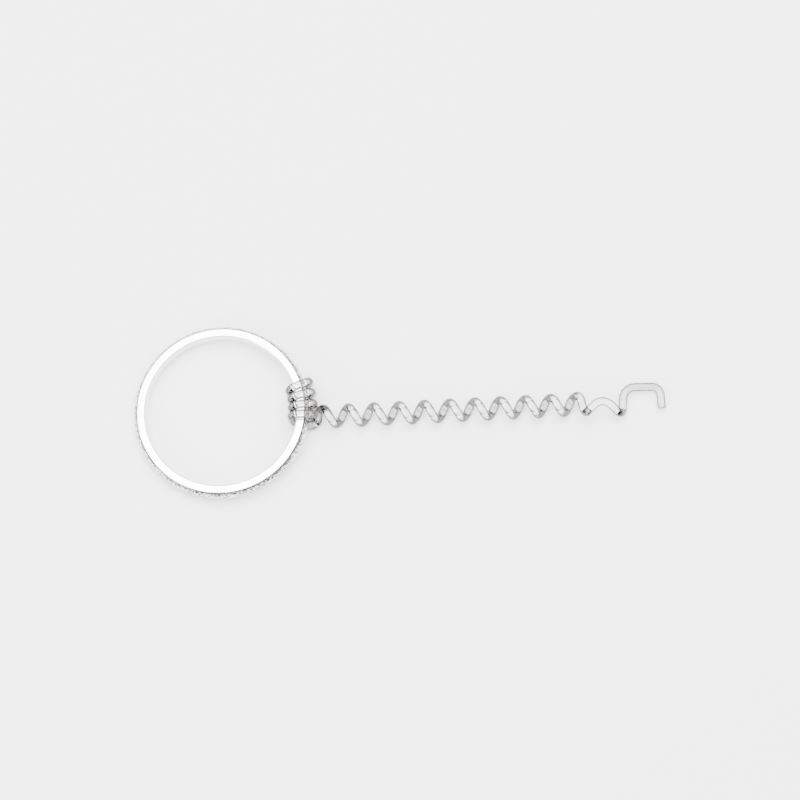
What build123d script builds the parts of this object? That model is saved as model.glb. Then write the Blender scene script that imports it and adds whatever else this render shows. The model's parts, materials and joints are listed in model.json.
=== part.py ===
"""A plain finger ring with a clear spring wire wound round its band as a size adjuster.

The ring lies on a table with the wound turns under one side of its band, so it leans a
little. The rest of the wire runs along +X as an open spiral and ends in a drawn-out hook.
Everything is in millimetres. The origin is the centre of the ring, and +Z is up.
"""

from build123d import *
from math import atan, cos, degrees, pi, radians, sin, sqrt
import os

os.makedirs("parts", exist_ok=True)

# Ring band
inner_diameter = 18.2
band_thickness = 1.46
band_width = 1.8
side_face_share = 0.637
inner_edge_radius = 0.2

# Clear wire
wire_diameter = 1.0

# Turns wound round the band
wound_turn_count = 4
wound_gap = 0.05
wound_spacing_gap = 0.04
lowest_front_strand_angle = -3.4

# Lead-out from the wound turns up to the spiral, in wire diameters
lead_drop_share = 1.0
lead_straight_share = 1.05
lead_corner_back_share = 0.5
lead_corner_across_share = 0.4
lead_radius_shares = (0.6, 0.8, 1.2)

# Open spiral
spiral_mean_diameter = 1.95
spiral_turn_count = 10
spiral_pitch = 3.03
spiral_heading = 3.6
spiral_start_gap = 0.5
spiral_start_share = 0.63

# Cuts between the pieces of the wire
bend_junction_gap = 0.24
slide_junction_gap = 0.02
bend_piece_length = 0.25
stub_length = 0.25
bends_after_turns = (3, 6, 9)

# Drawn-out end, as steps from the spiral's last point: a low arch, then a tall hook
arch_steps = [
    (1.2, -2.2, -0.2),
    (1.5, -1.95, 1.1),
    (3.3, -0.15, 0.9),
    (5.2, -1.9, 0.3),
    (5.75, -1.75, -0.75),
]
arch_first_run = 1.25
arch_radii = [0.6, 0.55, 0.55, 1.5, 0.6, 0.6]
hook_steps = [(6.0, 1.45, -0.8), (10.3, 1.6, -0.85), (10.55, -1.0, -0.95)]
hook_radii = [1.5, 1.0]
cut_end_rounding = 0.12

# Values that follow from the sizes above
wire_radius = wire_diameter / 2
side_face_width = band_thickness * side_face_share
inner_radius = inner_diameter / 2
outer_radius = inner_radius + band_thickness
middle_radius = inner_radius + band_thickness / 2
side_face_outer_radius = inner_radius + side_face_width
half_width = band_width / 2

wrap_radial = band_thickness / 2 + wound_gap + wire_radius
wrap_axial = half_width + wound_gap + wire_radius
inner_bend_radius = inner_edge_radius + wound_gap + wire_radius
outer_bend_radius = band_thickness + wound_gap + wire_radius - side_face_width
wound_step = degrees((wire_diameter + wound_spacing_gap) / (middle_radius - wrap_radial))
wound_start_angle = lowest_front_strand_angle - wound_step / 2

# The ring rests on its far lower rim and on the underside of the wound turns
wound_end_angle = wound_start_angle + wound_step * wound_turn_count
turns_contact_radius = (middle_radius - wrap_radial + inner_bend_radius) * cos(
    radians(wound_end_angle)
)
lean = degrees(
    atan(
        (wrap_axial + wire_radius - half_width)
        / (side_face_outer_radius + turns_contact_radius)
    )
)
table_height = -side_face_outer_radius * sin(radians(lean)) - half_width * cos(radians(lean))
ring_plane = Plane(
    origin=(0, 0, 0),
    x_dir=(cos(radians(lean)), 0, sin(radians(lean))),
    z_dir=(-sin(radians(lean)), 0, cos(radians(lean))),
)

spiral_radius = spiral_mean_diameter / 2
rise_angle = atan(spiral_pitch / (pi * spiral_mean_diameter))
wire_axial_radius = wire_radius / cos(rise_angle)
spiral_axis = Vector(cos(radians(spiral_heading)), sin(radians(spiral_heading)), 0)
spiral_side = Vector(-sin(radians(spiral_heading)), cos(radians(spiral_heading)), 0)


def finish(piece, name):
    """Label one piece and write it."""
    piece.part.label = name
    export_step(piece.part, f"parts/{name}.step")
    print(f"{name}: {piece.part.volume:.3f} mm3")


def wrap_point(radial, axial, turns):
    """A point beside the band, on its way round after this many wound turns."""
    angle = radians(wound_start_angle + wound_step * turns)
    reach = middle_radius + radial
    return ring_plane.from_local_coords(Vector(reach * cos(angle), reach * sin(angle), axial))


def wrap_corner(index):
    """Corner number index of the wire's way round the band, four to a turn."""
    radial = (-wrap_radial, -wrap_radial, wrap_radial, wrap_radial)[index % 4]
    axial = (-wrap_axial, wrap_axial, wrap_axial, -wrap_axial)[index % 4]
    return wrap_point(radial, axial, index / 4 + 1 / 8)


def wrap_middle(turn):
    """The point under the band where one wound turn ends and the next begins."""
    return (wrap_corner(4 * turn - 1) + wrap_corner(4 * turn)) / 2


def spiral_point(turns, radius=spiral_radius):
    """A point on the spiral's centreline, this many turns from its start."""
    angle = 2 * pi * turns
    across = spiral_side * (radius * cos(angle)) + Vector(0, 0, radius * sin(angle))
    return spiral_origin + spiral_axis * (spiral_pitch * turns) + across


def route_sweep(points, radii):
    """Sweep the round wire along straight runs joined by arcs. Call inside BuildPart."""
    with BuildLine() as route:
        FilletPolyline(*points, radius=radii)
    with BuildSketch(Plane(origin=route.line @ 0, z_dir=route.line % 0)) as section:
        Circle(wire_radius)
    sweep(section.sketch, path=route.line)


def stub_sweep(end_point, heading, end_plane):
    """Sweep the straight wire that ends at a slanting plane. Call inside BuildPart."""
    with BuildSketch(Plane(origin=end_point + heading * stub_length, z_dir=heading)) as section:
        Circle(wire_radius)
    extrude(section.sketch, amount=-stub_length - wire_radius)
    split(bisect_by=end_plane, keep=Keep.TOP)


def round_cut_end(wire, end_point):
    """Round the edge of a cut end of the wire. Call inside BuildPart."""
    rim = wire.edges().filter_by(GeomType.CIRCLE).sort_by_distance(end_point)[0]
    fillet(rim, radius=cut_end_rounding)


def spiral_sweep(start, end):
    """Sweep the wire along the spiral from one turn count to another. Call inside BuildPart."""
    angle = 2 * pi * start
    radial = spiral_side * cos(angle) + Vector(0, 0, sin(angle))
    base = spiral_origin + spiral_axis * (spiral_pitch * start)
    start_plane = Plane(origin=base, x_dir=radial, z_dir=spiral_axis)
    rise = spiral_pitch * (end - start)
    route = start_plane * Helix(spiral_pitch, rise, spiral_radius, mode=Mode.PRIVATE)
    section_plane = Plane(
        origin=base + radial * spiral_radius,
        x_dir=radial,
        z_dir=spiral_axis.cross(radial),
    )
    with BuildSketch(section_plane) as section:
        Ellipse(wire_radius, wire_axial_radius)
    sweep(section.sketch, path=route, is_frenet=True)


# Ring: a band with flat side faces, an outer edge that bulges and an eased inner edge
with BuildPart() as ring:
    with BuildSketch(Plane(ring_plane.origin, x_dir=ring_plane.x_dir, z_dir=-ring_plane.y_dir)):
        with BuildLine():
            outside = ThreePointArc(
                (side_face_outer_radius, half_width),
                (outer_radius, 0),
                (side_face_outer_radius, -half_width),
            )
            Polyline(
                outside @ 1,
                (inner_radius, -half_width),
                (inner_radius, half_width),
                outside @ 0,
            )
        make_face()
    revolve(axis=Axis(ring_plane.origin, ring_plane.z_dir))
    inner_edges = ring.edges().filter_by(GeomType.CIRCLE).sort_by(lambda e: e.radius)[:2]
    fillet(inner_edges, radius=inner_edge_radius)
finish(ring, "ring")

# Wound turns: rounded rectangles round the band, each one step further along it
wound_free_end = wrap_middle(wound_turn_count)
for turn in range(wound_turn_count):
    with BuildPart() as wound_turn:
        route_sweep(
            [
                wrap_middle(turn),
                wrap_corner(4 * turn),
                wrap_corner(4 * turn + 1),
                wrap_corner(4 * turn + 2),
                wrap_corner(4 * turn + 3),
                wrap_middle(turn + 1),
            ],
            [inner_bend_radius, inner_bend_radius, outer_bend_radius, outer_bend_radius],
        )
        if turn == wound_turn_count - 1:
            round_cut_end(wound_turn, wound_free_end)
    finish(wound_turn, f"wound_turn_{turn + 1}")

# The spiral starts outside the turns, this far along the band from the second one
second_turn_corner = wrap_corner(7)
spiral_origin = Vector(
    outer_radius + wound_gap + wire_diameter + spiral_start_gap,
    second_turn_corner.Y - wire_diameter * spiral_start_share - spiral_side.Y * spiral_radius,
    table_height + spiral_radius + wire_radius,
)

# Lead-out: from under the band, round the outside of the lowest turn, up to the spiral
wrap_start = wrap_middle(0)
wrap_heading = (wrap_corner(0) - wrap_start).normalized()
spiral_start = spiral_point(0)
spiral_heading_at_start = (
    spiral_axis * (spiral_pitch / (2 * pi)) + Vector(0, 0, spiral_radius)
).normalized()
lead_corner = Vector(
    spiral_start.X - lead_corner_back_share * wire_diameter,
    wrap_start.Y + lead_corner_across_share * wire_diameter,
    table_height + wire_radius + wound_gap,
)
with BuildPart() as lead_out:
    lead_end = spiral_start - spiral_heading_at_start * (bend_junction_gap / 2)
    stub_sweep(lead_end, -spiral_heading_at_start, Plane(lead_end, z_dir=(0, 0, -1)))
    route_sweep(
        [
            lead_end - spiral_heading_at_start * stub_length,
            spiral_start - spiral_heading_at_start * (lead_drop_share * wire_diameter),
            lead_corner,
            wrap_start - wrap_heading * (lead_straight_share * wire_diameter),
            wrap_start,
        ],
        [wire_diameter * share for share in lead_radius_shares],
    )
finish(lead_out, "lead_out")

# Open spiral: one piece to a turn, with a short piece wherever the wire bends sideways
wire_per_turn = sqrt((pi * spiral_mean_diameter) ** 2 + spiral_pitch**2)
half_bend_gap = bend_junction_gap / 2 / wire_per_turn
half_slide_gap = slide_junction_gap / 2 / wire_per_turn
spiral_pieces = [("swing_bend", 0, half_bend_gap)]
for turn in range(1, spiral_turn_count + 1):
    if turn == 1:
        spiral_pieces.append(("open_turn_1", bend_piece_length, half_bend_gap))
    else:
        spiral_pieces.append((f"open_turn_{turn}", turn - 1, half_slide_gap))
    if turn in bends_after_turns:
        name = f"curl_bend_{bends_after_turns.index(turn) + 1}"
        spiral_pieces.append((name, turn - bend_piece_length, half_bend_gap))
spiral_pieces.append(("end", spiral_turn_count, half_slide_gap))

for piece, following in zip(spiral_pieces, spiral_pieces[1:]):
    name, start, start_gap = piece
    with BuildPart() as spiral_piece:
        spiral_sweep(start + start_gap, following[1] - following[2])
    finish(spiral_piece, name)

# Drawn arch: out of the last turn, back under itself, over the arch and up to the hook
spiral_end = spiral_point(spiral_turn_count)
end_heading = spiral_heading_at_start
arch_route = [spiral_end + Vector(step) for step in arch_steps]
hook_route = [spiral_end + Vector(step) for step in hook_steps]
hook_start = (arch_route[-1] + hook_route[0]) / 2
hook_heading = (hook_route[0] - arch_route[-1]).normalized()
with BuildPart() as drawn_arch:
    arch_start = spiral_end + end_heading * (slide_junction_gap / 2)
    stub_sweep(arch_start, end_heading, Plane(arch_start, z_dir=(0, 0, 1)))
    route_sweep(
        [
            arch_start + end_heading * stub_length,
            spiral_end + end_heading * arch_first_run,
            *arch_route,
            hook_start - hook_heading * (bend_junction_gap / 2),
        ],
        arch_radii,
    )
finish(drawn_arch, "drawn_arch")

# End hook: up, across and down to the cut end
with BuildPart() as end_hook:
    route_sweep([hook_start + hook_heading * (bend_junction_gap / 2), *hook_route], hook_radii)
    round_cut_end(end_hook, hook_route[-1])
finish(end_hook, "end_hook")
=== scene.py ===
# %% [markdown]
# # A finger ring with a clear spiral size adjuster
# The object is a plain silver ring. A clear, springy plastic wire is wound four times
# round one side of its band, which makes the finger hole smaller, and the rest of the
# wire runs off to the side as an open spiral with a pulled-out hook at its end.
# The CAD model already says where everything is and how it moves, so this script
# reads every place from that frame and spends its effort on surfaces.

import json
import math

import bpy
from mathutils import Matrix, Quaternion, Vector
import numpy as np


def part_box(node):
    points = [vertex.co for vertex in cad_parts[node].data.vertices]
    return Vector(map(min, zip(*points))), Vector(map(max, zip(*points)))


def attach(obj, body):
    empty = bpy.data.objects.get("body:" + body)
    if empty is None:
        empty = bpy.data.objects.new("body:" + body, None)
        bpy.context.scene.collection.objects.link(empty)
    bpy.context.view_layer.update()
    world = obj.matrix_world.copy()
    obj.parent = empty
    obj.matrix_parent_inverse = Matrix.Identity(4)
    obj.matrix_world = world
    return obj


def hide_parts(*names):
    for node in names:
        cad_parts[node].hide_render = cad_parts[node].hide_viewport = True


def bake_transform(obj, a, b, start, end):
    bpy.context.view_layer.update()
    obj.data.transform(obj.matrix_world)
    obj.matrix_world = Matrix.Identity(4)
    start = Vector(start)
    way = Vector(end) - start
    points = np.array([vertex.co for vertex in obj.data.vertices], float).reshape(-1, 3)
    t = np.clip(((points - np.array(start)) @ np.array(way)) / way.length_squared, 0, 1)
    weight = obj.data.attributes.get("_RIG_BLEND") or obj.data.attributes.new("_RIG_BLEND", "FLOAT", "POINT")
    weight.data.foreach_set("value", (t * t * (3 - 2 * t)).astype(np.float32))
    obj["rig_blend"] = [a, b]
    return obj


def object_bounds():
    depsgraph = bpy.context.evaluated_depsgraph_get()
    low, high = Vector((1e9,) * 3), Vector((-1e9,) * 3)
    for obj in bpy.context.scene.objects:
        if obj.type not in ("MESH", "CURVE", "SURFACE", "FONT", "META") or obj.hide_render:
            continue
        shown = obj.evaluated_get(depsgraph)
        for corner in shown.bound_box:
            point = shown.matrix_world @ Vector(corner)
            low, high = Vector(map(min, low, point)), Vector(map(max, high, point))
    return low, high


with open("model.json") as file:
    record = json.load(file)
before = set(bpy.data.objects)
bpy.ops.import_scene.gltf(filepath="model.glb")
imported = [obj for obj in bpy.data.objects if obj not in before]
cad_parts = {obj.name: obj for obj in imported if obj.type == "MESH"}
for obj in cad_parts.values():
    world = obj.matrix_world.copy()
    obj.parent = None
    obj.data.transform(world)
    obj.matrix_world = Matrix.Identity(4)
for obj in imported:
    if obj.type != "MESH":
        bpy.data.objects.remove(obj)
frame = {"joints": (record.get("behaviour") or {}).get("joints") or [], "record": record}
low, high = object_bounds()
print("object, mm:", [round(1000 * (b - a), 2) for a, b in zip(low, high)])

# %% [markdown]
# ## Read the sizes from the frame
# Every pivot of the wire lies on the wire's own centreline, so the joints tell us the
# spiral's axis, radius and pitch. The ring's size comes from its mount and its box.
# Reading them here means that nothing has to be fitted by eye later.

# %% Sizes and axes
MM = 0.001
joints = {joint["name"]: joint for joint in frame["joints"]}
mount = frame["record"]["mounts"][0]


def pivot(name):
    """A joint's pivot, in metres."""
    return Vector(joints[name]["pos_m"])


ring_axis = Vector(joints["ring_turn"]["axis"]).normalized()
inner_radius = mount["dims"]["r_mm"] * MM
half_width = mount["dims"]["length_mm"] * MM / 2
ring_low, ring_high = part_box("ring")
outer_radius = (ring_high[1] - ring_low[1]) / 2
band_thickness = outer_radius - inner_radius

spiral_axis = Vector(joints["spiral_stretch"]["axis"]).normalized()
spiral_side = Vector((0, 0, 1)).cross(spiral_axis)
first_quarter = pivot("tail_sway") - pivot("tail_lift")
spiral_radius = first_quarter.z
spiral_pitch = 4 * first_quarter.dot(spiral_axis)
spiral_origin = pivot("tail_lift") - spiral_side * spiral_radius
turn_low, turn_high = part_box("open_turn_5")
wire_radius = (turn_high[2] - turn_low[2]) / 2 - spiral_radius
print(
    "mm: hole", round(2 * inner_radius / MM, 2),
    "outside", round(2 * outer_radius / MM, 2),
    "spiral radius", round(spiral_radius / MM, 3),
    "pitch", round(spiral_pitch / MM, 3),
    "wire", round(2 * wire_radius / MM, 3),
)

# %% [markdown]
# ## Helpers for Geometry Nodes
# Two pieces here follow a rule: the wire is a circle carried along a path, and the
# ring's outer edge is a smooth band struck all over with small marks. Both suit
# Geometry Nodes. These helpers make a tree with named inputs, give an object the tree
# with its values, and turn the result into a plain mesh that can ride on the frame.

# %% Geometry Nodes helpers
SOCKETS = {"GEOMETRY": "NodeSocketGeometry", "FLOAT": "NodeSocketFloat",
           "INT": "NodeSocketInt", "MATERIAL": "NodeSocketMaterial"}


def new_geometry_tree(name, inputs):
    """An empty tree with a geometry input, named inputs and a geometry output."""
    tree = bpy.data.node_groups.new(name, "GeometryNodeTree")
    tree.interface.new_socket("Geometry", in_out="INPUT", socket_type=SOCKETS["GEOMETRY"])
    for label, kind in inputs.items():
        tree.interface.new_socket(label, in_out="INPUT", socket_type=SOCKETS[kind])
    tree.interface.new_socket("Geometry", in_out="OUTPUT", socket_type=SOCKETS["GEOMETRY"])
    return tree, tree.nodes.new("NodeGroupInput"), tree.nodes.new("NodeGroupOutput")


def add_node(tree, kind, values=None, **settings):
    """A node with its settings and its unlinked input values."""
    node = tree.nodes.new(kind)
    for key, value in settings.items():
        setattr(node, key, value)
    for key, value in (values or {}).items():
        node.inputs[key].default_value = value
    return node


def finish_tree(tree, geometry, material, out):
    """End a tree in Realize Instances and Set Material."""
    realize = add_node(tree, "GeometryNodeRealizeInstances")
    paint = add_node(tree, "GeometryNodeSetMaterial")
    tree.links.new(geometry, realize.inputs["Geometry"])
    tree.links.new(realize.outputs["Geometry"], paint.inputs["Geometry"])
    tree.links.new(material, paint.inputs["Material"])
    tree.links.new(paint.outputs["Geometry"], out.inputs["Geometry"])


def grow(source, tree, values, name):
    """Run a tree on an object and return the result as a new plain mesh object."""
    modifier = source.modifiers.new(tree.name, "NODES")
    modifier.node_group = tree
    for item in tree.interface.items_tree:
        if item.in_out == "INPUT" and item.name in values:
            modifier[item.identifier] = values[item.name]
    graph = bpy.context.evaluated_depsgraph_get()
    mesh = bpy.data.meshes.new_from_object(source.evaluated_get(graph))
    mesh.name = name
    piece = bpy.data.objects.new(name, mesh)
    bpy.context.scene.collection.objects.link(piece)
    bpy.data.objects.remove(source)
    for polygon in mesh.polygons:
        polygon.use_smooth = True
    return piece


print("tree inputs can be:", ", ".join(SOCKETS))

# %% [markdown]
# ## Shared finish: fine wear
# Handled metal and drawn plastic both show the same thing close up: a slow cloudiness
# and short fine scratches. One node group makes both, and each material feeds it to
# its own roughness and bump with its own strengths. The group gives out only values.

# %% Shader group: fine wear
def make_wear_group():
    """Object coordinates in; a cloud value and a scratch height out."""
    group = bpy.data.node_groups.new("fine_wear", "ShaderNodeTree")
    for label, start in (("Cloud Scale", 300.0), ("Scratch Scale", 900.0), ("Stretch", 12.0)):
        socket = group.interface.new_socket(label, in_out="INPUT", socket_type="NodeSocketFloat")
        socket.default_value = start
    for label in ("Cloud", "Scratch"):
        group.interface.new_socket(label, in_out="OUTPUT", socket_type="NodeSocketFloat")
    entry = group.nodes.new("NodeGroupInput")
    leave = group.nodes.new("NodeGroupOutput")
    place = group.nodes.new("ShaderNodeTexCoord")
    cloud = add_node(group, "ShaderNodeTexNoise", {"Detail": 3.0, "Roughness": 0.55})
    stretch = add_node(group, "ShaderNodeCombineXYZ", {"Y": 1.0, "Z": 1.0})
    squeeze = add_node(group, "ShaderNodeVectorMath", operation="MULTIPLY")
    scratch = add_node(group, "ShaderNodeTexNoise", {"Detail": 4.0, "Roughness": 0.7})
    links = group.links
    links.new(place.outputs["Object"], cloud.inputs["Vector"])
    links.new(entry.outputs["Cloud Scale"], cloud.inputs["Scale"])
    links.new(entry.outputs["Stretch"], stretch.inputs["X"])
    links.new(place.outputs["Object"], squeeze.inputs[0])
    links.new(stretch.outputs["Vector"], squeeze.inputs[1])
    links.new(squeeze.outputs["Vector"], scratch.inputs["Vector"])
    links.new(entry.outputs["Scratch Scale"], scratch.inputs["Scale"])
    links.new(cloud.outputs["Fac"], leave.inputs["Cloud"])
    links.new(scratch.outputs["Fac"], leave.inputs["Scratch"])
    return group


wear_group = make_wear_group()
print("wear group sockets:", [item.name for item in wear_group.interface.items_tree])


def base_material(name, **values):
    """A material with one Principled shader and its plain values."""
    material = bpy.data.materials.new(name)
    material.use_nodes = True
    shader = material.node_tree.nodes["Principled BSDF"]
    for key, value in values.items():
        shader.inputs[key.replace("_", " ")].default_value = value
    return material, material.node_tree, shader


def add_wear(tree, shader, low_rough, high_rough, bump_height, **scales):
    """Let the wear group vary roughness and raise fine scratches."""
    wear = add_node(tree, "ShaderNodeGroup", node_tree=wear_group)
    for key, value in scales.items():
        wear.inputs[key.replace("_", " ")].default_value = value
    spread = add_node(tree, "ShaderNodeMapRange", {"From Min": 0.3, "From Max": 0.7,
                                                   "To Min": low_rough, "To Max": high_rough})
    bump = add_node(tree, "ShaderNodeBump", {"Strength": 0.5, "Distance": bump_height})
    tree.links.new(wear.outputs["Cloud"], spread.inputs["Value"])
    tree.links.new(spread.outputs["Result"], shader.inputs["Roughness"])
    tree.links.new(wear.outputs["Scratch"], bump.inputs["Height"])
    tree.links.new(bump.outputs["Normal"], shader.inputs["Normal"])


# %% [markdown]
# ## Silver
# The side faces and the hole are polished, with faint drawn lines. The outer edge has
# the same metal, but it is struck all over, and its pits get painted shade: their colour
# is darkened by depth, in place of the dark room that real pits reflect. A line of painted
# shade also runs where the edge meets a side face. A vertex attribute from the ring's
# mesh says how deep each point of the edge lies.

# %% Silver materials
silver, tree, shader = base_material(
    "polished_silver", Base_Color=(0.93, 0.925, 0.91, 1), Metallic=1.0, Roughness=0.12
)
add_wear(tree, shader, 0.07, 0.17, 0.000008, Cloud_Scale=260.0, Scratch_Scale=1500.0)

struck_silver, tree, shader = base_material(
    "struck_silver", Base_Color=(0.84, 0.83, 0.80, 1), Metallic=1.0, Roughness=0.16
)
add_wear(tree, shader, 0.10, 0.24, 0.00002, Cloud_Scale=900.0, Scratch_Scale=2600.0, Stretch=1.0)
# Painted shade: the struck edge's colour turns dark in the deeper pits, standing in for the dark room that
# they reflect.
depth = add_node(tree, "ShaderNodeAttribute", attribute_name="depth")
# A painted shade line: the colour is darkened along the edge's rows next to each side face.
shade_line = add_node(tree, "ShaderNodeAttribute", attribute_name="shade_line")
pit = add_node(tree, "ShaderNodeMapRange", {"From Min": 0.28, "From Max": 0.6,
                                            "To Min": 0.0, "To Max": 0.95})
dark = add_node(tree, "ShaderNodeMath", operation="MAXIMUM")
painted_shade = add_node(tree, "ShaderNodeMix", data_type="RGBA")
painted_shade.inputs["A"].default_value = (0.80, 0.79, 0.765, 1)
painted_shade.inputs["B"].default_value = (0.10, 0.085, 0.07, 1)
tree.links.new(depth.outputs["Fac"], pit.inputs["Value"])
tree.links.new(pit.outputs["Result"], dark.inputs[0])
tree.links.new(shade_line.outputs["Fac"], dark.inputs[1])
tree.links.new(dark.outputs["Value"], painted_shade.inputs["Factor"])
tree.links.new(painted_shade.outputs["Result"], shader.inputs["Base Color"])
print("silver materials:", silver.name, struck_silver.name)

# %% [markdown]
# ## Clear plastic
# The wire is soft clear plastic, so it bends light like glass but less cleanly: drawing
# leaves slight waves along it. The body is a glass-like shader with a fine bump. A thin
# round wire looks dark along its edges, where it bends the dark part of a room into
# view. A Layer Weight node adds that here by darkening the colour where the surface
# turns away, a stand-in for the room. The wire is made in lengths, because
# each length follows its own two bodies. Where two lengths meet, the flat end faces
# get a fully see-through material, so that light passes as if the wire were whole.

# %% Clear materials
clear, tree, shader = base_material(
    "clear_plastic", Base_Color=(0.985, 0.987, 0.99, 1), Roughness=0.03, IOR=1.49,
    Transmission_Weight=1.0
)
add_wear(tree, shader, 0.01, 0.05, 0.00006, Cloud_Scale=420.0, Scratch_Scale=620.0, Stretch=0.7)
# Painted dark edges: the colour turns near black where the surface turns away, standing in for the dark room
# the edges show.
slant = add_node(tree, "ShaderNodeLayerWeight", {"Blend": 0.5})
rim = add_node(tree, "ShaderNodeMapRange", {"From Min": 0.16, "From Max": 0.38,
                                            "To Min": 0.0, "To Max": 1.0})
painted_edge_shade = add_node(tree, "ShaderNodeMix", data_type="RGBA")
painted_edge_shade.inputs["A"].default_value = (0.985, 0.987, 0.99, 1)
painted_edge_shade.inputs["B"].default_value = (0.012, 0.008, 0.007, 1)
tree.links.new(slant.outputs["Facing"], rim.inputs["Value"])
tree.links.new(rim.outputs["Result"], painted_edge_shade.inputs["Factor"])
tree.links.new(painted_edge_shade.outputs["Result"], shader.inputs["Base Color"])

hidden_join, tree, shader = base_material("clear_join", Base_Color=(1, 1, 1, 1), Alpha=0.0)
print("clear materials:", clear.name, hidden_join.name)

# %% [markdown]
# ## The ring
# A lathe profile gives the ring its flat side faces, eased hole and bulged edge. The
# outer edge of the real ring is struck with small marks that sparkle, and they show in
# its outline, so they are real geometry. A Voronoi pattern gives each mark a centre:
# the surface sinks most there, and ridges are left between. The tree moves only the
# points that the mesh marks as edge, and stores the depth that the material uses for
# painted shade in the pits.

# %% Tree: struck edge
struck_tree, entry, leave = new_geometry_tree(
    "struck_edge", {"Mark Size": "FLOAT", "Mark Depth": "FLOAT", "Material": "MATERIAL"}
)
place = add_node(struck_tree, "GeometryNodeInputPosition")
per_metre = add_node(struck_tree, "ShaderNodeMath", {0: 1.0}, operation="DIVIDE")
marks = add_node(struck_tree, "ShaderNodeTexVoronoi", {"Randomness": 1.0}, feature="F1")
grain = add_node(struck_tree, "ShaderNodeTexNoise", {"Detail": 2.0, "Scale": 5200.0})
dish = add_node(struck_tree, "ShaderNodeMapRange", {"From Min": 0.05, "From Max": 0.75,
                                                    "To Min": 1.0, "To Max": 0.0})
mixed = add_node(struck_tree, "ShaderNodeMath", operation="MULTIPLY_ADD")
mixed.inputs[1].default_value = 0.75
share = add_node(struck_tree, "ShaderNodeMath", {1: 0.25}, operation="MULTIPLY")
mask = add_node(struck_tree, "GeometryNodeInputNamedAttribute", {"Name": "edge"}, data_type="FLOAT")
sink = add_node(struck_tree, "ShaderNodeMath", operation="MULTIPLY")
store = add_node(struck_tree, "GeometryNodeStoreNamedAttribute", {"Name": "depth"},
                 data_type="FLOAT", domain="POINT")
amount = add_node(struck_tree, "ShaderNodeMath", operation="MULTIPLY")
inwards = add_node(struck_tree, "ShaderNodeMath", {1: -1.0}, operation="MULTIPLY")
normal = add_node(struck_tree, "GeometryNodeInputNormal")
shift = add_node(struck_tree, "ShaderNodeVectorMath", operation="SCALE")
move = add_node(struck_tree, "GeometryNodeSetPosition")
link = struck_tree.links.new
link(entry.outputs["Mark Size"], per_metre.inputs[1])
link(place.outputs["Position"], marks.inputs["Vector"])
link(per_metre.outputs["Value"], marks.inputs["Scale"])
link(place.outputs["Position"], grain.inputs["Vector"])
link(marks.outputs["Distance"], dish.inputs["Value"])
link(grain.outputs["Fac"], share.inputs[0])
link(dish.outputs["Result"], mixed.inputs[0])
link(share.outputs["Value"], mixed.inputs[2])
link(mixed.outputs["Value"], sink.inputs[0])
link(mask.outputs["Attribute"], sink.inputs[1])
link(entry.outputs["Geometry"], store.inputs["Geometry"])
link(sink.outputs["Value"], store.inputs["Value"])
link(sink.outputs["Value"], amount.inputs[0])
link(entry.outputs["Mark Depth"], amount.inputs[1])
link(amount.outputs["Value"], inwards.inputs[0])
link(normal.outputs["Normal"], shift.inputs[0])
link(inwards.outputs["Value"], shift.inputs["Scale"])
link(store.outputs["Geometry"], move.inputs["Geometry"])
link(shift.outputs["Vector"], move.inputs["Offset"])
finish_tree(struck_tree, move.outputs["Geometry"], entry.outputs["Material"], leave)
print("struck edge nodes:", len(struck_tree.nodes))

# %% [markdown]
# ## The ring's section, carried round
# A lathe is the plain way to make a ring: one section is repeated round the axis. The
# section has many points on the outer edge, where the marks need them, and few on the
# flat faces. Its points carry two masks: one says how far the marks may sink there, and
# the other paints a line of shade, a darker line where the edge meets a side face.

# %% Ring profile and lathe
side_face_width = 0.637 * band_thickness
face_margin = 0.05 * MM
edge_radius = 0.2 * MM
dome_steps = 44
round_steps = 1440
ease_steps = 8
shade_line_steps = 4
mask_start, mask_rise = 0.1, 0.2
mark_size = 0.36 * MM
mark_depth = 0.09 * MM


def ring_profile():
    """(radius, height, edge mask, painted shade line mask) round the band's section, anticlockwise."""
    points = []
    for step in range(ease_steps + 1):
        angle = math.radians(180 + 90 * step / ease_steps)
        points.append((inner_radius + edge_radius * (1 + math.cos(angle)),
                       -half_width + edge_radius * (1 + math.sin(angle)), 0.0, 0.0))
    points.append((inner_radius + edge_radius + face_margin, -half_width, 0.0, 0.0))
    points.append((inner_radius + side_face_width - face_margin, -half_width, 0.0, 0.0))
    bulge = band_thickness - side_face_width
    reach = (half_width**2 + bulge**2) / (2 * bulge)
    spread = math.asin(half_width / reach)
    for step in range(dome_steps + 1):
        share = step / dome_steps
        angle = spread * (2 * share - 1)
        from_side = min(step, dome_steps - step)
        # The last value marks the painted shade line next to each side face.
        points.append((outer_radius - reach + reach * math.cos(angle), reach * math.sin(angle),
                       min(1.0, mask_start + mask_rise * from_side),
                       1.0 if 0 < from_side < shade_line_steps else 0.0))
    points.append((inner_radius + side_face_width - face_margin, half_width, 0.0, 0.0))
    points.append((inner_radius + edge_radius + face_margin, half_width, 0.0, 0.0))
    for step in range(ease_steps + 1):
        angle = math.radians(90 + 90 * step / ease_steps)
        points.append((inner_radius + edge_radius * (1 + math.cos(angle)),
                       half_width - edge_radius * (1 - math.sin(angle)), 0.0, 0.0))
    return points


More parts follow.
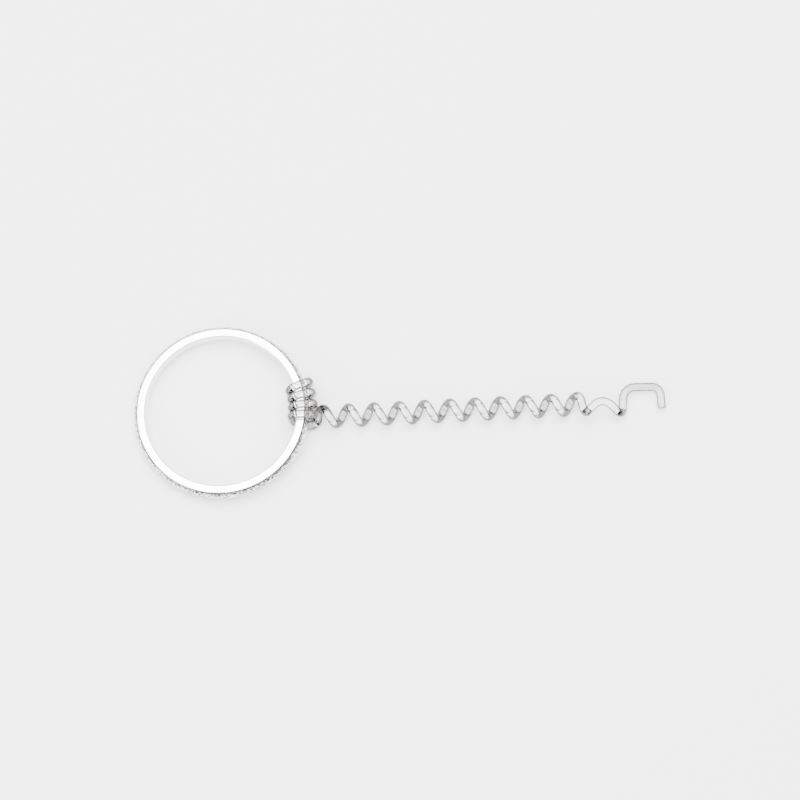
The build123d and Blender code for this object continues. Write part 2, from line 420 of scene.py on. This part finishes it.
def lathe_ring():
    """A closed ring mesh round the ring's own axis, with an edge mask on its points."""
    section = ring_profile()
    turn_to_axis = Vector((0, 0, 1)).rotation_difference(ring_axis).to_matrix()
    vertices, faces, edges, shade_lines = [], [], [], []
    for around in range(round_steps):
        angle = 2 * math.pi * around / round_steps
        for radius, height, edge, shade_line in section:
            flat = Vector((radius * math.cos(angle), radius * math.sin(angle), height))
            vertices.append(turn_to_axis @ flat)
            edges.append(edge)
            shade_lines.append(shade_line)
    count = len(section)
    for around in range(round_steps):
        here, beyond = around * count, (around + 1) % round_steps * count
        for step in range(count):
            after = (step + 1) % count
            faces.append((here + step, beyond + step, beyond + after, here + after))
    mesh = bpy.data.meshes.new("ring_lathe")
    mesh.from_pydata(vertices, [], faces)
    mesh.update()
    mesh.attributes.new("edge", "FLOAT", "POINT").data.foreach_set("value", edges)
    mesh.attributes.new("shade_line", "FLOAT", "POINT").data.foreach_set("value", shade_lines)
    blank = bpy.data.objects.new("ring_lathe", mesh)
    bpy.context.scene.collection.objects.link(blank)
    return blank


ring_piece = grow(
    lathe_ring(), struck_tree,
    {"Mark Size": mark_size, "Mark Depth": mark_depth, "Material": silver}, "ring_band"
)
ring_piece.data.materials.append(struck_silver)
edge_values = [0.0] * len(ring_piece.data.vertices)
ring_piece.data.attributes["edge"].data.foreach_get("value", edge_values)
for polygon in ring_piece.data.polygons:
    if min(edge_values[vertex] for vertex in polygon.vertices) > 0.0:
        polygon.material_index = 1
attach(ring_piece, "band")
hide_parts("ring")
print("ring faces:", len(ring_piece.data.polygons))

# %% [markdown]
# ## The wire's route
# One route describes the whole wire, from the cut end inside the wound turns to the cut
# end of the hook. It has three kinds of stretch: rounded rectangles round the band, a
# true helix, and listed points for the drawn-out end. Corners become arcs, which
# is how wire bends. Each point also carries a mark, so that the route can be cut into
# lengths exactly where the bodies change over.

# %% Route helpers
point_spacing = 0.07 * MM


def straight(a, b):
    """Evenly spaced points from a towards b, without b."""
    steps = max(1, round((b - a).length / point_spacing))
    return [a.lerp(b, step / steps) for step in range(steps)]


def rounded_route(corners, radii):
    """Points along straight runs whose corners are arcs of the given radii."""
    points = []
    start = corners[0]
    for before, corner, after, radius in zip(corners, corners[1:], corners[2:], radii):
        incoming = (corner - before).normalized()
        outgoing = (after - corner).normalized()
        bend = incoming.angle(outgoing)
        setback = radius * math.tan(bend / 2)
        arc_start = corner - incoming * setback
        points += straight(start, arc_start)
        axis = incoming.cross(outgoing).normalized()
        centre = arc_start + axis.cross(incoming) * radius
        steps = max(4, round(radius * bend / point_spacing))
        for step in range(steps):
            turn = Quaternion(axis, bend * step / steps)
            points.append(centre + turn @ (arc_start - centre))
        start = corner + outgoing * setback
    return points + straight(start, corners[-1]) + [corners[-1]]


def spiral_point(turns):
    """A point on the open spiral's centreline."""
    angle = 2 * math.pi * turns
    across = spiral_side * math.cos(angle) + Vector((0, 0, 1)) * math.sin(angle)
    return spiral_origin + spiral_axis * (spiral_pitch * turns) + across * spiral_radius


def spiral_stretch_points(start, end):
    """Points along the open spiral between two turn counts."""
    per_turn = math.hypot(2 * math.pi * spiral_radius, spiral_pitch)
    steps = max(2, round((end - start) * per_turn / point_spacing))
    return [spiral_point(start + (end - start) * step / steps) for step in range(steps + 1)]


print("route point spacing, mm:", round(point_spacing / MM, 3))

# %% [markdown]
# ## The wound turns and the way out
# The wire goes round the band four times. Its corners are numbered, four to a turn, and
# each lies a little further round the ring than the last, so the turns lie side by
# side. A lead-out runs low over the table from the first turn and rises into the
# spiral. Only the corners are placed, and the arcs between the runs follow from them.

# %% Wound turns and lead-out
wound_gap = 0.05 * MM
spacing_gap = 0.04 * MM
wound_turn_count = 4
lowest_front_angle = math.radians(-3.4)
middle_radius = inner_radius + band_thickness / 2
wrap_radial = band_thickness / 2 + wound_gap + wire_radius
wrap_axial = half_width + wound_gap + wire_radius
inner_bend = edge_radius + wound_gap + wire_radius
outer_bend = band_thickness + wound_gap + wire_radius - side_face_width
wound_step = (2 * wire_radius + spacing_gap) / (middle_radius - wrap_radial)
ring_tilt = Vector((0, 0, 1)).rotation_difference(ring_axis)


def wrap_corner(index):
    """Corner number index of the wire's way round the band, four to a turn."""
    radial = (-wrap_radial, -wrap_radial, wrap_radial, wrap_radial)[index % 4]
    axial = (-wrap_axial, wrap_axial, wrap_axial, -wrap_axial)[index % 4]
    angle = lowest_front_angle + wound_step * (index / 4 + 1 / 8 - 1 / 2)
    reach = middle_radius + radial
    return ring_tilt @ Vector((reach * math.cos(angle), reach * math.sin(angle), axial))


def wrap_middle(turn):
    """The point under the band where one wound turn ends and the next begins."""
    return (wrap_corner(4 * turn - 1) + wrap_corner(4 * turn)) / 2


wound_corners = [wrap_corner(index) for index in range(4 * wound_turn_count)]
wound_radii = [(inner_bend, inner_bend, outer_bend, outer_bend)[index % 4]
               for index in range(4 * wound_turn_count)]
spiral_heading = (spiral_axis * (spiral_pitch / (2 * math.pi))
                  + Vector((0, 0, 1)) * spiral_radius).normalized()
wrap_start = wrap_middle(0)
wrap_heading = (wound_corners[0] - wrap_start).normalized()
table = low[2]
lead_drop = 1.0 * MM
lead_straight = 1.05 * MM
lead_corner_back = 0.5 * MM
lead_corner_across = 0.4 * MM
lead_radii = [0.6 * MM, 0.8 * MM, 1.2 * MM]
lead_corner = Vector((spiral_point(0).x - lead_corner_back,
                      wrap_start.y + lead_corner_across,
                      table + wire_radius + wound_gap))
lead_corners = [
    spiral_point(0) - spiral_heading * lead_drop,
    lead_corner,
    wrap_start - wrap_heading * lead_straight,
]
coil_route = rounded_route(
    [spiral_point(0), *lead_corners, *wound_corners, wrap_middle(wound_turn_count)],
    [*lead_radii, *wound_radii],
)
print("coil route points:", len(coil_route))

# %% [markdown]
# ## The open spiral and the drawn-out end
# The helix runs for ten turns. Then somebody has pulled the wire's end out of its
# curl, so it makes a sharp turn back, a low arch and a tall hook. The steps are
# offsets from the helix's last point, the same as in the CAD model, so the drawn end
# stays on its collision shape when it moves.

# %% The whole route, with a mark at each point
spiral_turn_count = 10
arch_first_run = 1.25 * MM
arch_steps = [(1.2, -2.2, -0.2), (1.5, -1.95, 1.1), (3.3, -0.15, 0.9), (5.2, -1.9, 0.3),
              (5.75, -1.75, -0.75)]
hook_steps = [(6.0, 1.45, -0.8), (10.3, 1.6, -0.85), (10.55, -1.0, -0.95)]
drawn_radii = [0.6, 0.55, 0.55, 1.5, 0.6, 0.6, 1.5, 1.0]
cut_end_rounding = 0.12 * MM
rounding_steps = 6
rounding_clearance = 1.3
wire_per_turn = math.hypot(2 * math.pi * spiral_radius, spiral_pitch)
spiral_end = spiral_point(spiral_turn_count)
drawn_route = rounded_route(
    [spiral_end, spiral_end + spiral_heading * arch_first_run,
     *[spiral_end + Vector(step) * MM for step in arch_steps + hook_steps]],
    [radius * MM for radius in drawn_radii],
)


def marks_along(points, first):
    """How far each point lies along the wire, counted in turns of the open spiral."""
    marks = [first]
    for a, b in zip(points, points[1:]):
        marks.append(marks[-1] + (b - a).length / wire_per_turn)
    return marks


def round_off(points, marks):
    """Swap the last points for ones that close in on a rounded end, with radius shares."""
    end, end_mark = points[-1], marks[-1]
    kept = [index for index, point in enumerate(points)
            if (point - end).length > rounding_clearance * cut_end_rounding]
    outwards = (end - points[kept[-1]]).normalized()
    new_points = [points[index] for index in kept]
    new_marks = [marks[index] for index in kept]
    shares = [1.0] * len(kept)
    direction = 1 if marks[-1] > marks[0] else -1
    for step in range(rounding_steps + 1):
        angle = math.pi / 2 * step / rounding_steps
        back = cut_end_rounding * (1 - math.sin(angle))
        new_points.append(end - outwards * back)
        new_marks.append(end_mark - direction * back / wire_per_turn)
        shares.append(1 - cut_end_rounding * (1 - math.cos(angle)) / wire_radius)
    return new_points, new_marks, shares


coil_marks = [-mark for mark in marks_along(coil_route, 0.0)]
coil_points, coil_marks, coil_shares = round_off(coil_route, coil_marks)
drawn_points, drawn_marks, drawn_shares = round_off(
    drawn_route, marks_along(drawn_route, spiral_turn_count)
)
spiral_points = spiral_stretch_points(0, spiral_turn_count)
spiral_marks = [spiral_turn_count * step / (len(spiral_points) - 1)
                for step in range(len(spiral_points))]
wire_points = coil_points[::-1] + spiral_points[1:-1] + drawn_points
wire_marks = coil_marks[::-1] + spiral_marks[1:-1] + drawn_marks
wire_shares = coil_shares[::-1] + [1.0] * (len(spiral_points) - 2) + drawn_shares
print("wire:", len(wire_points), "points,",
      round((wire_marks[-1] - wire_marks[0]) * wire_per_turn / MM, 1), "mm long")

# %% [markdown]
# ## The tree that draws the wire
# Drawn plastic is never quite even: its thickness breathes a little along its length.
# The tree carries a circle along the route and lets a slow noise change its size, and
# because the noise reads the route's own position, two lengths that meet agree exactly.
# The marks travel from the route to the mesh, where they steer the bending.

# %% Tree: drawn wire
wire_tree, entry, leave = new_geometry_tree(
    "drawn_wire",
    {"Wire Radius": "FLOAT", "Unevenness": "FLOAT", "Wave Length": "FLOAT", "Sides": "INT",
     "Material": "MATERIAL"},
)
link = wire_tree.links.new
to_curve = add_node(wire_tree, "GeometryNodeMeshToCurve")
circle = add_node(wire_tree, "GeometryNodeCurvePrimitiveCircle", {"Radius": 1.0})
place = add_node(wire_tree, "GeometryNodeInputPosition")
per_metre = add_node(wire_tree, "ShaderNodeMath", {0: 1.0}, operation="DIVIDE")
waves = add_node(wire_tree, "ShaderNodeTexNoise", {"Detail": 1.0})
centred = add_node(wire_tree, "ShaderNodeMath", {1: 0.5}, operation="SUBTRACT")
strength = add_node(wire_tree, "ShaderNodeMath", operation="MULTIPLY")
whole = add_node(wire_tree, "ShaderNodeMath", {1: 1.0}, operation="ADD")
share = add_node(wire_tree, "GeometryNodeInputNamedAttribute", {"Name": "share"},
                 data_type="FLOAT")
eased = add_node(wire_tree, "ShaderNodeMath", operation="MULTIPLY")
size = add_node(wire_tree, "ShaderNodeMath", operation="MULTIPLY")
to_mesh = add_node(wire_tree, "GeometryNodeCurveToMesh", {"Fill Caps": True})
link(entry.outputs["Geometry"], to_curve.inputs["Mesh"])
link(entry.outputs["Sides"], circle.inputs["Resolution"])
link(entry.outputs["Wave Length"], per_metre.inputs[1])
link(place.outputs["Position"], waves.inputs["Vector"])
link(per_metre.outputs["Value"], waves.inputs["Scale"])
link(waves.outputs["Fac"], centred.inputs[0])
link(centred.outputs["Value"], strength.inputs[0])
link(entry.outputs["Unevenness"], strength.inputs[1])
link(strength.outputs["Value"], whole.inputs[0])
link(whole.outputs["Value"], eased.inputs[0])
link(share.outputs["Attribute"], eased.inputs[1])
link(eased.outputs["Value"], size.inputs[0])
link(entry.outputs["Wire Radius"], size.inputs[1])
link(to_curve.outputs["Curve"], to_mesh.inputs["Curve"])
link(circle.outputs["Curve"], to_mesh.inputs["Profile Curve"])
link(size.outputs["Value"], to_mesh.inputs["Scale"])
finish_tree(wire_tree, to_mesh.outputs["Mesh"], entry.outputs["Material"], leave)
print("drawn wire nodes:", len(wire_tree.nodes))

# %% [markdown]
# ## Lengths of wire, each bending across one joint
# The real spiral flexes everywhere, and the CAD model gathers that into joints between
# its turns. Each length of wire here runs from the middle of one body to the middle of
# the next. Its first point follows the one body, its last the other, and the points
# between share the movement in proportion to their distance along the wire. So the
# wire stays one smooth line in every pose.

# %% Build the lengths
curl_turns = (3, 6, 9)
bend_middle = 0.125
coil_mark = -0.1
before_curl = 0.4
into_arch = 0.5
wire_unevenness = 0.05
wire_wave_length = 1.6 * MM
wire_sides = 28
pure_points = [("coil", coil_mark), ("swing_bend", bend_middle), ("turn_1", 3 * bend_middle)]
waiting = []
for turn in range(2, spiral_turn_count + 2):
    waiting.append(f"turn_{turn}" if turn <= spiral_turn_count else "arch")
    if turn in curl_turns or turn > spiral_turn_count:
        start = pure_points[-1][1]
        end = turn - before_curl if turn in curl_turns else spiral_turn_count + into_arch
        for place, body in enumerate(waiting):
            pure_points.append((body, start + (end - start) * (place + 1) / len(waiting)))
        waiting = []
    if turn in curl_turns:
        curl_body = f"curl_bend_{curl_turns.index(turn) + 1}"
        pure_points.append((curl_body, turn - bend_middle))
print("pure points:", [(body, round(mark, 3)) for body, mark in pure_points])
hook_mark = min(
    zip(wire_points, wire_marks), key=lambda pair: (pair[0] - pivot("hook_bend")).length
)[1]
hook_spread = 0.07
body_pairs = list(zip(pure_points, pure_points[1:]))
body_pairs.append((("arch", hook_mark - hook_spread), ("hook", hook_mark + hook_spread)))


def nearest_index(mark):
    """The index of the wire's point whose mark is nearest."""
    return min(range(len(wire_marks)), key=lambda index: abs(wire_marks[index] - mark))


def wire_length(name, first, last, pair):
    """One length of wire between two point indices, bending across its pair of bodies."""
    span = range(first, last + 1)
    mesh = bpy.data.meshes.new(name + "_route")
    mesh.from_pydata([wire_points[index] for index in span],
                     [(step, step + 1) for step in range(len(span) - 1)], [])
    for label, source in (("mark", wire_marks), ("share", wire_shares)):
        attribute = mesh.attributes.new(label, "FLOAT", "POINT")
        attribute.data.foreach_set("value", [source[index] for index in span])
    blank = bpy.data.objects.new(name + "_route", mesh)
    bpy.context.scene.collection.objects.link(blank)
    piece = grow(
        blank, wire_tree,
        {"Wire Radius": wire_radius, "Unevenness": wire_unevenness,
         "Wave Length": wire_wave_length, "Sides": wire_sides, "Material": clear}, name,
    )
    mesh = piece.data
    mesh.materials.append(hidden_join)
    ends = {first: first > 0, last: last < len(wire_points) - 1}
    for polygon in mesh.polygons:
        if len(polygon.vertices) > 4:
            polygon.use_smooth = False
            centre = Vector(polygon.center)
            nearest = min(ends, key=lambda index: (wire_points[index] - centre).length)
            polygon.material_index = 1 if ends[nearest] else 0
    (body_a, mark_a), (body_b, mark_b) = pair
    # The cuts fall on real points of the route, so the bend ends there too.
    mark_a = max(mark_a, wire_marks[first])
    mark_b = min(mark_b, wire_marks[last])
    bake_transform(piece, body_a, body_b, wire_points[first], wire_points[last])
    weights = [min(1.0, max(0.0, (item.value - mark_a) / (mark_b - mark_a)))
               for item in mesh.attributes["mark"].data]
    mesh.attributes["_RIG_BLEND"].data.foreach_set("value", weights)
    return piece


cuts = [0, *[nearest_index(pair[1][1]) for pair in body_pairs[:-1]], len(wire_points) - 1]
wire_pieces = []
for number, pair in enumerate(body_pairs):
    wire_pieces.append(
        wire_length(f"wire_{number + 1:02d}", cuts[number], cuts[number + 1], pair)
    )
print("wire lengths:", len(wire_pieces), "faces:",
      sum(len(piece.data.polygons) for piece in wire_pieces))

# %% [markdown]
# ## What the lengths replace
# The frame's own solids would show through the clear wire, so they are hidden. A length
# lies on two bodies, and the solids of both are hidden.

# %% Which CAD pieces the lengths stand for
coil_nodes = ["lead_out", *[f"wound_turn_{turn + 1}" for turn in range(wound_turn_count)]]
nodes_of = {"coil": coil_nodes, "swing_bend": ["swing_bend"], "arch": ["drawn_arch"],
            "hook": ["end_hook"]}
for turn in range(1, spiral_turn_count + 1):
    nodes_of[f"turn_{turn}"] = [f"open_turn_{turn}"]
for number in range(1, len(curl_turns) + 1):
    nodes_of[f"curl_bend_{number}"] = [f"curl_bend_{number}"]
for piece, pair in zip(wire_pieces, body_pairs):
    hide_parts(*nodes_of[pair[0][0]], *nodes_of[pair[1][0]])
print("stand-ins:", sum(len(nodes) for nodes in nodes_of.values()), "CAD pieces")

# %% [markdown]
# ## A pale table and soft light
# Polished silver and clear plastic have almost no colour of their own: they show the
# room. The room here is bright above and dark towards the floor, so that the ring's
# flat faces turn white while its struck marks keep some contrast, and two soft lamps
# add a little shape. The room's own backdrop is a plain grey for the camera only, by
# a Light Path node in the world, because the dark part of it would show in low views.

# %% Floor and lights
floor_mesh = bpy.data.meshes.new("floor")
floor_reach = 6.0
floor_corners = [(-floor_reach, -floor_reach), (floor_reach, -floor_reach),
                 (floor_reach, floor_reach), (-floor_reach, floor_reach)]
floor_mesh.from_pydata([(x, y, low[2]) for x, y in floor_corners], [], [(0, 1, 2, 3)])
floor = bpy.data.objects.new("floor", floor_mesh)
bpy.context.scene.collection.objects.link(floor)
floor_material, tree, shader = base_material(
    "pale_table", Base_Color=(0.93, 0.93, 0.93, 1), Roughness=0.6
)
floor_mesh.materials.append(floor_material)

room_strength = 4.4
room_dark = (0.24, (0.03, 0.028, 0.027, 1))
room_bright = (0.66, (1.0, 1.0, 1.01, 1))
backdrop_grey = (0.75, 0.75, 0.75, 1)
world = bpy.data.worlds.new("room")
world.use_nodes = True
background = world.node_tree.nodes["Background"]
background.inputs["Strength"].default_value = room_strength
direction = world.node_tree.nodes.new("ShaderNodeTexCoord")
parts = world.node_tree.nodes.new("ShaderNodeSeparateXYZ")
fade = world.node_tree.nodes.new("ShaderNodeValToRGB")
for stop, (position, colour) in zip(fade.color_ramp.elements, (room_dark, room_bright)):
    stop.position = position
    stop.color = colour
world.node_tree.links.new(direction.outputs["Generated"], parts.inputs["Vector"])
world.node_tree.links.new(parts.outputs["Z"], fade.inputs["Fac"])
backdrop = add_node(world.node_tree, "ShaderNodeMix", data_type="RGBA")
backdrop.inputs["B"].default_value = backdrop_grey
seen = world.node_tree.nodes.new("ShaderNodeLightPath")
world.node_tree.links.new(seen.outputs["Is Camera Ray"], backdrop.inputs["Factor"])
world.node_tree.links.new(fade.outputs["Color"], backdrop.inputs["A"])
world.node_tree.links.new(backdrop.outputs["Result"], background.inputs["Color"])
bpy.context.scene.world = world


def area_light(name, place, size, power):
    """A square soft light at a place, facing the middle of the object."""
    data = bpy.data.lights.new(name, "AREA")
    data.size = size
    data.energy = power
    light = bpy.data.objects.new(name, data)
    bpy.context.scene.collection.objects.link(light)
    aim = (low + high) / 2 - Vector(place)
    light.rotation_euler = aim.to_track_quat("-Z", "Y").to_euler()
    light.location = place


lamps = {"overhead": ((0.02, 0.12, 0.42), 0.36, 4.5),
         "left_front": ((-0.35, -0.3, 0.25), 0.2, 2.0)}
for lamp, (spot, width, power) in lamps.items():
    area_light(lamp, spot, width, power)
print("lights:", [item.name for item in bpy.data.lights])

# %% [markdown]
# ## Camera
# The ring is seen from above and a little in front. The direction is given in the
# ring's own frame, as the view of a circle fixes it best, and turned by the lean.

# %% Camera
to_camera = Vector((0.058, -0.240, 0.969)).normalized()
aim_across_mm, aim_up_mm = 21.37, 1.44
camera_distance = 0.266
lens_mm, sensor_mm = 100, 36
nearest_seen = 0.005
across = (Vector((1, 0, 0)) - to_camera * to_camera.x).normalized()
upwards = to_camera.cross(across)
aim = ring_tilt @ (across * aim_across_mm * MM + upwards * aim_up_mm * MM)
turned = ring_tilt.to_matrix() @ Matrix((across, upwards, to_camera)).transposed()
camera_data = bpy.data.cameras.new("camera")
camera_data.lens = lens_mm
camera_data.sensor_width = sensor_mm
camera_data.clip_start = nearest_seen
camera = bpy.data.objects.new("camera", camera_data)
bpy.context.scene.collection.objects.link(camera)
camera.matrix_world = (
    Matrix.Translation(aim + ring_tilt @ to_camera * camera_distance) @ turned.to_4x4()
)
bpy.context.scene.camera = camera
print("camera distance, mm:", round(camera_distance / MM, 1), "lens, mm:", lens_mm)
